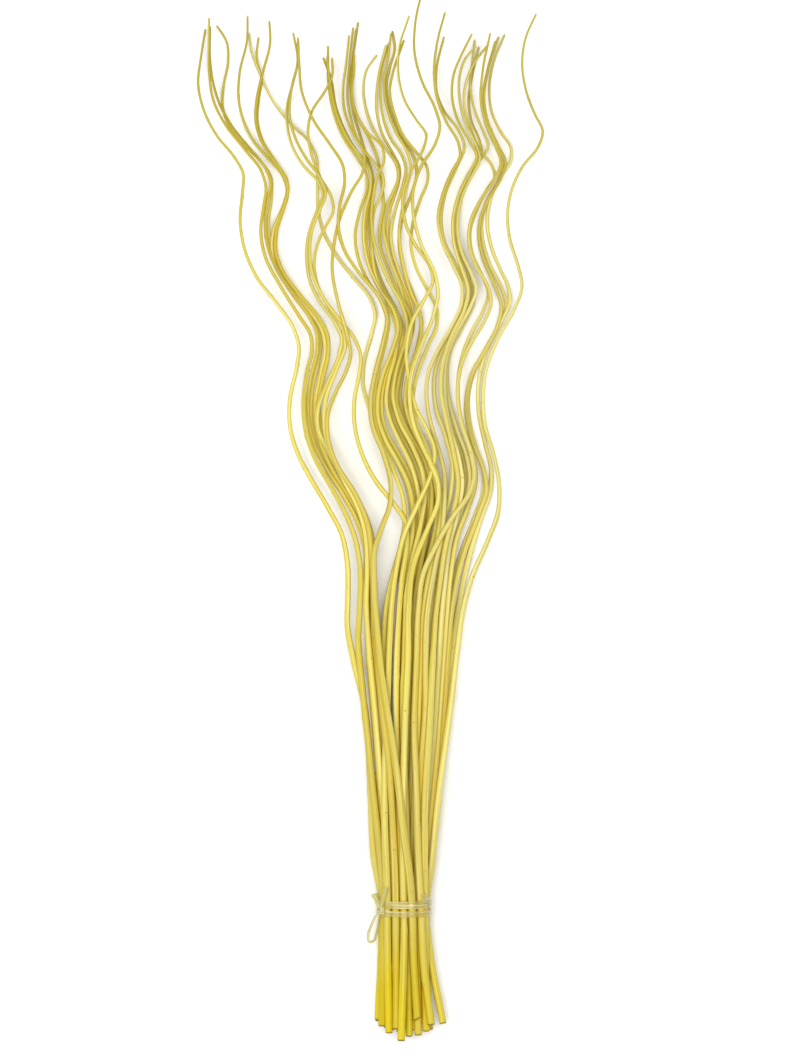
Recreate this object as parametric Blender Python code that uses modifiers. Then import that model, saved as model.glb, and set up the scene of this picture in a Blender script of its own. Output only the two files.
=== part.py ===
"""A tied bunch of dyed curly willow stems, lying on a surface.

The bunch lies along Y with its cut ends at -Y and its tips at +Y. Each stem is one tapering rod of its
own, and a flat ribbon goes twice round them all above the cut ends. Millimetres are turned to metres
only where objects are made.

Every stem's bends are written as (along, across) pairs. Along is measured up the bunch from the lowest
cut end, and across from a line down its middle. The height of a stem above the surface follows from a
rule: stems are laid one on another in the order of their rows, and each is lifted clear of those below.
"""

from dataclasses import dataclass
import math

import bmesh
import bpy
import numpy as np

MM = 0.001

# The bunch
GRID_STEP = 2.5
BUNCH_LENGTH = 1060.0
TIE_ALONG = 130.0
TIE_ACROSS = 4.0
SLOT_PITCH = 7.4
FRONT_PITCH = 8.3
FRONT_ROWS = 2
ROW_PITCH = 5.5
ROW_SIZES = (5, 6, 7, 6, 7, 6, 3)
TIE_GAP = 0.35
CURL_GAP = 0.9
FLOOR_GAP = 0.3
LIFT_REACH = 15.0
BEND_SMOOTHING = 5.0
SPLAY_BELOW_TIE = 1.18
GIRTH = (0.92, 0.98)
INNER_RADIUS = 3.1
LAST_LAID = "middle_02"

# How a stem tapers: (along, radius)
TAPER = (
    (0, 3.95), (135, 3.95), (290, 3.6), (390, 3.25), (480, 2.75),
    (590, 2.3), (790, 1.8), (940, 1.4), (1060, 1.05))

# The depth of the bunch in its curls
CURL_START = 190.0
CURL_FULL = 560.0
CURL_DEPTH = 44.0
DEPTH_WAVE = 8.0
DEPTH_WAVE_LENGTH = 165.0

# A stem's tube
MOST_RINGS = 32
FINEST_STEP = 9.0
BEND_TOLERANCE = 0.7

# The ribbon
RIBBON_THICK = 0.8
RIBBON_CLEAR = 0.75
TURN_EDGES = (121.6, 127.6, 129.6, 137.0)
OUTLINE_SIDES = 40
UNDERSIDE_REACH = 12.0
SIDE_CROSSING = (0.45, 0.8)


@dataclass
class Stem:
    """One stem: its place in the tie, its cut end if it shows, and its bends up to the tip."""

    name: str
    row: int
    place: int
    cut_end: tuple
    bends: tuple


STEMS = (
    Stem("left_01", 2, 0, (20, -22), (
        (175, -25), (260, -30), (337, -36), (364, -42), (390, -49), (415, -53), (450, -52),
        (480, -53), (502, -57),
        (539, -76), (583, -101), (606, -109), (628, -111), (650, -109), (674, -103), (694, -101),
        (713, -107),
        (750, -134), (770, -148), (789, -155), (806, -159), (828, -160), (848, -158), (862, -156),
        (874, -159),
        (899, -180), (916, -190), (934, -198), (954, -202), (974, -201), (994, -197), (1012, -195))),
    Stem("left_02", 1, 0, (14, -18), (
        (250, -27), (320, -34), (365, -39), (400, -42), (440, -40), (490, -42), (516, -50),
        (553, -69), (577, -83),
        (602, -93), (628, -96), (652, -96), (678, -91), (698, -87), (715, -95), (735, -109), (758, -122),
        (786, -136), (818, -139), (848, -134), (862, -135), (880, -147), (909, -171), (940, -187),
        (960, -190),
        (980, -191), (1022, -191))),
    Stem("left_03", 3, 0, None, (
        (260, -21), (330, -27), (390, -32), (450, -34), (492, -35), (519, -43), (557, -65),
        (581, -80), (608, -90),
        (622, -92), (650, -92), (676, -86), (699, -82), (710, -84), (731, -96), (752, -112), (780, -128),
        (810, -135), (840, -133), (860, -129), (870, -133), (896, -154), (928, -177), (945, -184),
        (966, -189),
        (1014, -190))),
    Stem("left_04", 4, 0, None, (
        (260, -20), (330, -25), (390, -30), (450, -33), (492, -34), (519, -41), (557, -62),
        (581, -77), (608, -87),
        (636, -90), (676, -83), (699, -79), (710, -81), (731, -93), (752, -109), (780, -125), (810, -132),
        (840, -130), (860, -128), (872, -133), (895, -155), (922, -175), (944, -179), (956, -177),
        (985, -172),
        (998, -173), (1009, -178), (1016, -184))),
    Stem("left_05", 4, 1, None, (
        (260, -18), (330, -22), (390, -27), (450, -31), (492, -31), (519, -38), (553, -58),
        (585, -75), (614, -84),
        (642, -85), (670, -79), (696, -75), (708, -77), (730, -91), (751, -110), (778, -126), (802, -129),
        (818, -125), (844, -114), (856, -113), (868, -119), (893, -142), (926, -159), (942, -162),
        (960, -162),
        (978, -159), (1010, -152), (1026, -153))),
    Stem("left_06", 5, 0, None, (
        (260, -21), (330, -23), (390, -26), (450, -29), (492, -29), (519, -35), (553, -54),
        (585, -73), (612, -81),
        (642, -83), (662, -81), (694, -74), (708, -75), (720, -80), (731, -88), (752, -107), (778, -123),
        (804, -126), (834, -117), (848, -112), (858, -112), (870, -118), (894, -135), (924, -144),
        (938, -143),
        (964, -139), (978, -143), (992, -145), (1005, -142))),
    Stem("left_07", 3, 1, None, (
        (260, -15), (330, -19), (390, -23), (450, -27), (492, -28), (519, -33), (553, -52),
        (585, -70), (614, -80),
        (642, -81), (670, -76), (696, -71), (710, -74), (731, -88), (752, -106), (778, -122), (802, -125),
        (820, -121), (844, -113), (857, -112), (870, -119), (890, -134), (904, -141), (920, -145),
        (936, -145),
        (954, -141), (970, -137), (988, -132), (1006, -129), (1020, -131))),
    Stem("left_08", 2, 1, None, (
        (260, -17), (330, -21), (390, -25), (440, -27), (492, -27), (519, -32), (553, -51),
        (585, -69), (600, -78),
        (614, -83), (628, -83), (642, -79), (672, -66), (697, -58), (707, -59), (730, -75),
        (758, -90), (772, -93),
        (790, -93), (808, -91), (836, -80), (846, -76), (853, -78), (874, -97), (891, -107), (908, -112),
        (926, -114), (942, -112), (960, -106), (976, -102), (988, -103), (1007, -107))),
    Stem("left_09", 1, 1, None, (
        (200, -12), (260, -19), (330, -25), (390, -31), (440, -34), (492, -33), (519, -37),
        (551, -51), (580, -67),
        (594, -72), (610, -75), (626, -76), (642, -74), (674, -62), (700, -54), (713, -58),
        (736, -74), (762, -85),
        (776, -86), (803, -80), (823, -69), (831, -65), (837, -66), (856, -77), (880, -87),
        (910, -92), (926, -89),
        (937, -83), (954, -70), (965, -67), (981, -68))),
    Stem("left_10", 0, 1, (12, -4), (
        (200, -6.5), (280, -11), (350, -19.5), (390, -23), (440, -27), (492, -29), (519, -33), (545, -44),
        (570, -60), (585, -68), (602, -72), (620, -73), (634, -70), (658, -59), (682, -49),
        (693, -50), (722, -58),
        (762, -67), (780, -68), (795, -66), (825, -59), (850, -47), (872, -35), (881, -34),
        (891, -39), (915, -52),
        (930, -56), (948, -57), (970, -55), (988, -51), (1003, -51))),
    Stem("middle_01", 1, 2, None, (
        (250, -2), (340, -4), (390, -3), (440, 0), (470, 3), (505, 7), (521, 5), (530, -1),
        (541, -11), (555, -22),
        (572, -32), (588, -39), (604, -44), (622, -46), (640, -46), (656, -43), (670, -40),
        (684, -39), (697, -43),
        (719, -60), (747, -80), (778, -90), (795, -90), (810, -88), (832, -79), (841, -74),
        (850, -74), (860, -79),
        (885, -97), (920, -110), (936, -111), (952, -108), (985, -101), (1002, -102))),
    Stem("middle_02", 0, 3, (22, 17), (
        (180, 7), (235, 1), (260, -2), (290, -6.5), (320, -11), (350, -16), (390, -21), (440, -24),
        (465, -26),
        (482, -27), (492, -25), (516, -17), (540, -9), (552, -9), (564, -10), (586, -17), (608, -26),
        (630, -31),
        (650, -28), (682, -22), (706, -15), (718, -13), (728, -14), (751, -28), (776, -49), (807, -61),
        (822, -62), (840, -59), (867, -55), (879, -59), (907, -80), (940, -96), (956, -100), (972, -101),
        (985, -99), (996, -102))),
    Stem("middle_03", 5, 1, None, (
        (300, -12), (390, -11), (440, -11), (480, 2), (520, 11), (550, 8), (570, 0), (592, -13),
        (606, -20),
        (632, -31), (648, -36), (660, -38), (674, -37), (706, -29), (730, -25), (741, -29),
        (767, -50), (798, -72),
        (836, -83), (874, -83), (890, -85), (900, -91), (924, -116), (960, -137), (993, -150),
        (1010, -152))),
    Stem("middle_04", 2, 2, None, (
        (260, -10), (340, -15), (400, -16), (440, -13), (470, -6), (500, 2), (525, 5), (550, 1), (570, -7),
        (590, -15), (610, -23), (630, -26), (650, -25), (670, -21), (688, -18), (700, -14),
        (712, -11), (722, -11),
        (735, -16), (760, -33), (790, -44), (806, -45), (837, -38), (860, -32), (871, -35),
        (892, -51), (922, -65),
        (950, -71), (965, -72), (994, -72))),
    Stem("middle_05", 2, 3, None, (
        (250, 1), (330, -3), (390, -2), (440, 0), (470, 5), (505, 12), (530, 13), (550, 10), (570, 2),
        (590, -9),
        (610, -19), (630, -23), (650, -21), (670, -16), (690, -8), (702, -4), (713, -2), (725, -4),
        (737, -12),
        (762, -27), (788, -35), (810, -37), (832, -35), (858, -29), (870, -30), (890, -46),
        (918, -61), (948, -69),
        (965, -70), (982, -73))),
    Stem("middle_06", 3, 2, None, (
        (250, 0), (320, -1), (380, 0), (440, 2), (470, 7), (500, 14), (525, 17), (550, 15), (570, 8),
        (590, -4),
        (610, -15), (630, -19), (650, -18), (670, -12), (688, -6), (702, -1), (713, 1), (724, -1),
        (738, -9),
        (762, -24), (786, -32), (808, -35), (832, -33), (857, -27), (870, -28), (890, -44),
        (916, -58), (940, -66),
        (960, -69), (974, -72), (983, -77))),
    Stem("middle_07", 3, 3, None, (
        (250, 3), (330, 4), (390, 3), (440, 6), (470, 14), (505, 20), (530, 20), (550, 18), (570, 13),
        (590, 4),
        (610, -6), (630, -13), (650, -14), (670, -8), (690, -4), (710, -3), (730, -10), (750, -19),
        (770, -26),
        (790, -28), (810, -28), (828, -27), (838, -23), (848, -18), (857, -15), (865, -17),
        (874, -24), (886, -33),
        (897, -41), (914, -47), (930, -51), (945, -53), (964, -52), (982, -50), (1013, -47))),
    Stem("middle_08", 4, 2, None, (
        (250, 4), (330, 6), (390, 7), (440, 9), (470, 13), (500, 20), (530, 24), (550, 23), (570, 18),
        (590, 9),
        (610, -1), (630, -10), (650, -11), (670, -4), (690, -1), (708, 3), (720, 1), (740, -9), (760, -19),
        (780, -26), (800, -30), (818, -32), (832, -31), (846, -29), (860, -27), (872, -29),
        (895, -37), (910, -41),
        (925, -46), (940, -49), (956, -50), (974, -49), (992, -46), (1020, -42))),
    Stem("middle_09", 1, 3, (4, 9), (
        (220, 6), (290, 4), (350, 3), (400, 5), (440, 6), (470, 10), (500, 17), (530, 23), (550, 25),
        (570, 22),
        (590, 14), (610, 4), (630, -6), (650, -7), (670, -4), (690, 2), (706, 7), (718, 7), (730, 4),
        (750, -7),
        (770, -17), (790, -24), (812, -28), (827, -29), (842, -27), (856, -25), (869, -21),
        (879, -16), (888, -14),
        (896, -21), (904, -31), (917, -40), (932, -46), (946, -48), (960, -48), (970, -46), (978, -43),
        (986, -46))),
    Stem("middle_10", 4, 3, None, (
        (250, 7), (330, 9), (390, 11), (440, 15), (470, 19), (500, 25), (530, 31), (550, 32),
        (570, 28), (590, 19),
        (610, 8), (630, -2), (650, -4), (670, 2), (690, 6), (708, 12), (720, 11), (730, 8), (750, -3),
        (770, -11),
        (790, -19), (810, -21), (830, -17), (850, -17), (864, -20), (873, -22), (882, -22),
        (894, -26), (908, -34),
        (922, -42), (938, -47), (956, -49), (978, -48), (995, -45), (1012, -44))),
    Stem("middle_11", 5, 3, None, (
        (250, 8), (330, 10), (390, 12), (440, 14), (470, 18), (505, 25), (530, 29), (550, 29),
        (570, 26), (590, 17),
        (610, 6), (630, -5), (650, -6), (670, -1), (690, 3), (710, 7), (730, 7), (750, 1), (770, -6),
        (785, -11),
        (800, -15), (820, -17), (835, -14), (845, -9), (855, -4), (865, -1), (876, -3), (887, -9),
        (897, -18),
        (912, -27), (931, -34), (950, -37), (967, -36), (979, -31), (988, -23))),
    Stem("middle_12", 5, 2, None, (
        (250, 2), (330, -1), (390, -3), (440, 0), (470, 6), (505, 14), (530, 18), (550, 20),
        (570, 20), (590, 13),
        (610, 2), (630, -8), (650, -9), (670, -2), (690, 6), (708, 12), (720, 12), (735, 9), (750, 4),
        (770, -5),
        (790, -12), (810, -13), (830, -11), (845, -6), (858, -2), (869, 0), (879, -1), (888, -7),
        (898, -13),
        (910, -19), (926, -23), (940, -24), (956, -23), (970, -21), (997, -14))),
    Stem("middle_13", 6, 0, None, (
        (250, 0), (330, 5), (390, 9), (440, 13), (470, 20), (505, 28), (530, 32), (550, 33),
        (570, 30), (590, 22),
        (610, 11), (630, 1), (650, 0), (670, 3), (690, 7), (708, 12), (722, 14), (738, 11), (755, 4),
        (775, -3),
        (795, -9), (815, -9), (835, -4), (852, 1), (864, 5), (876, 6), (886, 3), (894, -4),
        (906, -11), (920, -16),
        (936, -19), (952, -20), (968, -19), (984, -16), (1000, -11))),
    Stem("middle_14", 4, 4, None, (
        (250, 11), (330, 14), (390, 16), (440, 20), (470, 26), (505, 34), (530, 38), (550, 37),
        (570, 32), (590, 24),
        (610, 13), (630, 6), (650, 5), (670, 10), (690, 16), (710, 22), (730, 19), (750, 10),
        (770, 5), (790, 0),
        (810, -1), (830, 2), (855, 6), (868, 10), (880, 11), (890, 7), (900, 0), (914, -7),
        (928, -12), (942, -15),
        (956, -16), (972, -15), (988, -11), (1009, -9))),
    Stem("middle_15", 6, 1, None, (
        (250, 7), (330, 11), (390, 14), (440, 19), (470, 25), (505, 34), (530, 39), (552, 38),
        (572, 34), (592, 26),
        (612, 15), (632, 8), (652, 7), (672, 11), (695, 17), (712, 22), (730, 19), (748, 12),
        (765, 6), (785, 0),
        (805, -1), (820, 1), (835, 6), (850, 12), (862, 16), (875, 17), (887, 13), (896, 7),
        (909, -1), (922, -7),
        (936, -11), (950, -14), (966, -13), (980, -9), (993, -5), (1012, -8))),
    Stem("middle_16", 2, 4, None, (
        (260, 15), (340, 19), (390, 21), (440, 24), (470, 30), (510, 39), (530, 41), (550, 40),
        (570, 36), (590, 28),
        (610, 19), (630, 13), (654, 14), (666, 17), (679, 21), (690, 26), (701, 31), (712, 36),
        (722, 38), (732, 37),
        (740, 34), (757, 23), (778, 14), (790, 11), (804, 11), (818, 13), (831, 16), (842, 21), (854, 26),
        (866, 29), (875, 27), (882, 21), (891, 14), (900, 6), (912, -1), (928, -6), (942, -9), (956, -11),
        (968, -7), (980, -2), (1000, 4))),
    Stem("middle_17", 0, 0, (8, -11), (
        (190, -14.5), (240, -15.5), (280, -15), (320, -13), (360, -12), (390, -11), (420, -9), (450, -7),
        (470, -4), (495, 1), (519, 9), (540, 20), (555, 26), (569, 32), (581, 35), (593, 34),
        (606, 29), (633, 15),
        (647, 11), (660, 9), (686, 6), (700, 7), (715, 11), (740, 24), (751, 31), (761, 34),
        (771, 31), (799, 12),
        (816, 5), (835, 2), (850, 4), (872, 13), (891, 24), (899, 28), (905, 26), (928, 9), (942, 3),
        (958, -1),
        (974, -3), (990, -1), (1004, 2), (1022, 9))),
    Stem("middle_18", 0, 2, (1, 1), (
        (190, 2), (240, 3), (290, 4), (350, 6), (390, 8), (420, 8), (440, 9), (460, 11), (482, 15),
        (502, 23),
        (522, 32), (535, 37), (548, 39), (560, 37), (583, 27), (607, 16), (620, 12), (632, 10), (646, 9),
        (660, 10), (683, 17), (709, 27), (732, 36), (744, 38), (762, 36), (780, 28), (798, 19), (818, 14),
        (838, 12), (858, 15), (875, 22), (887, 30), (898, 37), (912, 40), (924, 38), (940, 29), (961, 20),
        (978, 15), (995, 14), (1015, 15), (1028, 17), (1052, 23))),
    Stem("right_01", 1, 4, (5, 18), (
        (220, 18), (290, 22), (350, 26), (390, 25), (440, 28.5), (470, 34), (500, 41), (520, 43),
        (535, 44),
        (552, 45), (568, 44), (585, 40), (602, 35), (618, 30), (634, 27), (648, 26), (662, 27), (676, 31),
        (688, 37), (710, 50), (730, 60), (744, 63), (754, 62), (765, 58), (776, 52), (788, 46), (800, 41),
        (815, 38), (830, 38), (843, 42), (856, 46), (874, 55), (883, 60), (892, 62), (899, 57), (908, 51),
        (918, 46), (928, 41), (940, 37), (952, 35), (965, 34), (980, 34), (992, 36), (1028, 45))),
    Stem("right_02", 3, 4, None, (
        (220, 19), (290, 24), (350, 28), (390, 29), (440, 32), (465, 35), (490, 38), (510, 41), (530, 46),
        (542, 49), (552, 52), (564, 53), (578, 52), (593, 49), (608, 44), (622, 39), (636, 35), (650, 34),
        (664, 34), (678, 37), (690, 42), (709, 53), (731, 64), (743, 67), (755, 66), (767, 61), (790, 48),
        (804, 43), (818, 41), (832, 42), (858, 49), (878, 59), (888, 64), (897, 65), (904, 62), (912, 57),
        (926, 46), (942, 38), (952, 36), (970, 36), (986, 39), (1004, 44))),
    Stem("right_03", 1, 5, (9, 26), (
        (220, 24), (290, 28), (350, 31), (390, 33), (440, 37), (460, 40), (480, 43), (500, 46), (520, 51),
        (540, 56), (560, 58), (580, 55), (600, 50), (629, 44), (642, 41), (656, 40), (670, 41), (684, 44),
        (697, 48), (710, 55), (722, 60), (734, 66), (742, 68), (758, 67), (770, 62), (783, 57), (796, 54),
        (810, 52), (824, 53), (837, 56), (849, 60), (859, 65), (869, 70), (877, 76), (883, 78), (895, 71),
        (908, 62), (924, 56), (940, 52), (958, 52), (975, 56), (987, 62), (998, 70), (1006, 72))),
    Stem("right_04", 2, 5, None, (
        (220, 25), (290, 32), (350, 37), (390, 39), (440, 43), (480, 47), (500, 50), (520, 55), (540, 60),
        (560, 62), (580, 59), (600, 53), (620, 48), (640, 45), (660, 44), (675, 45), (690, 48), (710, 57),
        (730, 68), (740, 74), (750, 77), (758, 75), (770, 69), (784, 63), (798, 59), (812, 57), (826, 58),
        (840, 61), (852, 65), (863, 70), (872, 77), (880, 81), (890, 78), (901, 72), (914, 66), (928, 62),
        (944, 59), (960, 59), (976, 62), (987, 68), (995, 76))),
    Stem("right_05", 4, 5, None, (
        (220, 27), (290, 34), (350, 40), (390, 43), (440, 46), (480, 49), (500, 52), (520, 58), (540, 65),
        (560, 70), (580, 68), (600, 61), (620, 54), (640, 49), (655, 47), (670, 47), (690, 50), (700, 55),
        (715, 63), (730, 70), (745, 76), (757, 75), (770, 70), (784, 64), (798, 59), (812, 57), (830, 57),
        (845, 59), (857, 63), (868, 69), (877, 75), (883, 82), (889, 88), (894, 90), (902, 87), (913, 81),
        (926, 76), (941, 72), (956, 70), (972, 71), (988, 74), (1003, 75))),
    Stem("right_06", 6, 2, None, (
        (250, 24), (330, 32), (390, 36), (440, 41), (470, 44), (500, 50), (520, 56), (540, 63), (560, 67),
        (580, 64), (600, 57), (620, 51), (640, 46), (655, 44), (670, 43), (690, 48), (705, 55), (720, 63),
        (735, 70), (750, 73), (765, 69), (780, 63), (795, 58), (810, 55), (828, 56), (845, 60), (862, 66),
        (876, 74), (888, 82), (898, 82), (909, 76), (922, 71), (936, 69), (950, 69), (964, 72), (980, 76),
        (996, 79))),
    Stem("right_07", 0, 4, (16, 31), (
        (180, 18), (220, 17), (260, 16), (300, 14), (340, 15), (370, 16), (400, 17), (425, 18), (445, 19),
        (460, 21), (482, 29), (502, 40), (522, 51), (537, 63), (550, 71), (562, 74), (576, 73), (591, 69),
        (606, 64), (620, 60), (634, 58), (648, 57), (662, 58), (675, 61), (686, 65), (697, 71), (708, 78),
        (718, 84), (727, 89), (736, 91), (746, 90), (756, 86), (766, 79), (778, 73), (790, 69), (804, 68),
        (818, 70), (829, 74), (839, 80), (848, 86), (858, 93), (868, 99), (878, 101), (888, 99), (898, 93),
        (910, 87), (924, 82), (940, 80), (956, 81), (974, 83), (1006, 90))),
    Stem("right_08", 3, 5, None, (
        (220, 30), (290, 37), (350, 41), (390, 44), (440, 48), (470, 51), (490, 54), (510, 59), (530, 67),
        (545, 73), (560, 76), (580, 74), (600, 67), (620, 61), (640, 58), (660, 58), (675, 60), (690, 64),
        (705, 70), (720, 78), (735, 86), (745, 89), (755, 87), (770, 79), (790, 71), (810, 70), (825, 75),
        (838, 80), (850, 86), (859, 92), (867, 98), (875, 93), (883, 84), (895, 78), (907, 73), (920, 67),
        (934, 64), (948, 64), (962, 67), (976, 74), (988, 79), (996, 88))),
    Stem("right_09", 4, 6, None, (
        (220, 32), (280, 39), (340, 44), (390, 48), (440, 53), (470, 59), (490, 65), (510, 72), (525, 78),
        (540, 84), (552, 87), (564, 86), (576, 81), (589, 76), (602, 71), (616, 68), (630, 66), (643, 67),
        (656, 69), (667, 72), (678, 78), (688, 84), (700, 90), (710, 95), (720, 100), (731, 102),
        (743, 100),
        (755, 95), (766, 90), (778, 85), (790, 81), (804, 79), (818, 80), (830, 82), (839, 87), (848, 92),
        (857, 97), (865, 102), (874, 107), (882, 106), (892, 100), (906, 93), (922, 87), (940, 84),
        (956, 85),
        (974, 89), (990, 94), (1006, 99))),
    Stem("right_10", 5, 5, None, (
        (220, 31), (280, 39), (340, 46), (390, 52), (440, 60), (470, 66), (490, 71), (510, 77), (525, 82),
        (540, 88), (552, 91), (564, 92), (578, 91), (592, 87), (606, 83), (622, 80), (638, 78), (652, 78),
        (666, 80), (680, 83), (692, 88), (704, 94), (716, 100), (728, 106), (736, 110), (745, 111),
        (763, 105),
        (782, 96), (800, 90), (820, 87), (840, 90), (856, 96), (870, 104), (883, 113), (890, 114),
        (902, 106),
        (920, 96), (940, 90), (960, 90), (975, 92), (992, 99), (1008, 105))),
    Stem("right_11", 5, 4, None, (
        (220, 26), (280, 35), (340, 42), (390, 46), (440, 50), (465, 55), (485, 61), (505, 68), (525, 76),
        (540, 82), (555, 85), (570, 84), (585, 79), (602, 73), (622, 69), (640, 68), (660, 71), (675, 77),
        (690, 85), (705, 93), (720, 102), (729, 106), (739, 107), (750, 103), (760, 98), (772, 92),
        (784, 87),
        (796, 84), (810, 82), (822, 82), (836, 85), (850, 92), (862, 99), (872, 104), (880, 103),
        (890, 98),
        (903, 92), (918, 86), (935, 82), (950, 83), (968, 87), (985, 91), (1002, 96))),
    Stem("right_12", 2, 6, (16, 43), (
        (100, 28), (180, 32), (210, 35), (240, 38), (290, 44), (315, 48), (340, 51), (365, 54), (390, 57),
        (410, 60), (430, 63), (448, 67), (463, 72), (476, 77), (489, 83), (502, 89), (515, 94), (528, 98),
        (540, 100), (555, 99), (570, 97), (585, 94), (602, 88), (620, 84), (640, 83), (660, 84), (678, 88),
        (697, 96), (716, 105), (732, 115), (750, 122), (758, 122), (778, 117), (800, 110), (820, 107),
        (832, 108),
        (852, 112), (872, 121), (887, 134), (902, 143), (907, 144), (914, 141), (933, 131), (955, 125),
        (978, 122), (990, 123), (1008, 127), (1018, 131), (1026, 136))),
)

# The free ribbon. Its routes leave the knot, as (across, along, height over what lies under it)
KNOT_PLACE = (-16.5, 131.5)
KNOT_SIZE = (4.2, 4.8, 2.3)
KNOT_LEVEL = 25.0
KNOT_SINK = 0.5
BOW_WIDTH = 3.6
BOW_ROUTE = (
    (-24, 123, 2.4), (-27, 117, 3.0), (-30, 110, 4.0), (-32.5, 103, 4.0), (-32, 99, 4.0),
    (-28.5, 98, 4.0), (-25.5, 102, 5.5), (-23.0, 110, 5.8), (-21.0, 119, 5.6))
TAIL_WIDTH = 4.5
LEFT_TAIL_ROUTE = ((-23, 138, 2.4), (-25.5, 142, 2.8), (-28, 147, 3.2))
RIGHT_TAIL_ROUTE = ((-17.5, 140, 2.4), (-16, 147, 2.8), (-14, 155, 3.2))
HANG_SLOPE = 0.35
RIBBON_LEAN = (0.5, 0.25, 0.83)
RIBBON_SPAN = 2.5

GRID = np.arange(0.0, BUNCH_LENGTH + GRID_STEP, GRID_STEP)


def smoothstep(value, low, high):
    """Nought below low, one above high, and a smooth rise between."""
    share = np.clip((value - low) / (high - low), 0.0, 1.0)
    return share * share * (3 - 2 * share)


def window_of(reach):
    """How many grid steps a window of this reach takes each way."""
    return max(1, round(reach / GRID_STEP))


def blurred(values, reach):
    """The running mean, with straight ends."""
    half = window_of(reach)
    padded = np.pad(values, half, mode="reflect", reflect_type="odd")
    return np.convolve(padded, np.full(2 * half + 1, 1 / (2 * half + 1)), mode="valid")


def widened(values, reach):
    """The running maximum."""
    half = window_of(reach)
    padded = np.pad(values, half, mode="edge")
    return np.lib.stride_tricks.sliding_window_view(padded, 2 * half + 1).max(axis=1)


def curve_through(points, at):
    """A smooth curve through (along, across) points, read at these values of along, straight beyond them."""
    along = np.array([point[0] for point in points], float)
    across = np.array([point[1] for point in points], float)
    slope = np.gradient(across, along)
    piece = np.clip(np.searchsorted(along, at) - 1, 0, len(along) - 2)
    span = along[piece + 1] - along[piece]
    step = np.clip((at - along[piece]) / span, 0.0, 1.0)
    inside = (
        across[piece] * (1 + 2 * step) * (1 - step) ** 2
        + across[piece + 1] * (3 - 2 * step) * step**2
        + slope[piece] * span * step * (1 - step) ** 2
        - slope[piece + 1] * span * step**2 * (1 - step)
    )
    before = np.minimum(at - along[0], 0.0) * slope[0]
    after = np.maximum(at - along[-1], 0.0) * slope[-1]
    return inside + before + after


def slot_across(stem):
    """Where the stem crosses the tie."""
    pitch = FRONT_PITCH if stem.row < FRONT_ROWS else SLOT_PITCH
    return TIE_ACROSS + (stem.place - (ROW_SIZES[stem.row] - 1) / 2) * pitch


def slot_height(stem):
    """How high the stem's middle lies in the tie. Row 0 is the top one."""
    lowest = RIBBON_THICK + RIBBON_CLEAR + INNER_RADIUS
    return lowest + (len(ROW_SIZES) - 1 - stem.row) * ROW_PITCH


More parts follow.
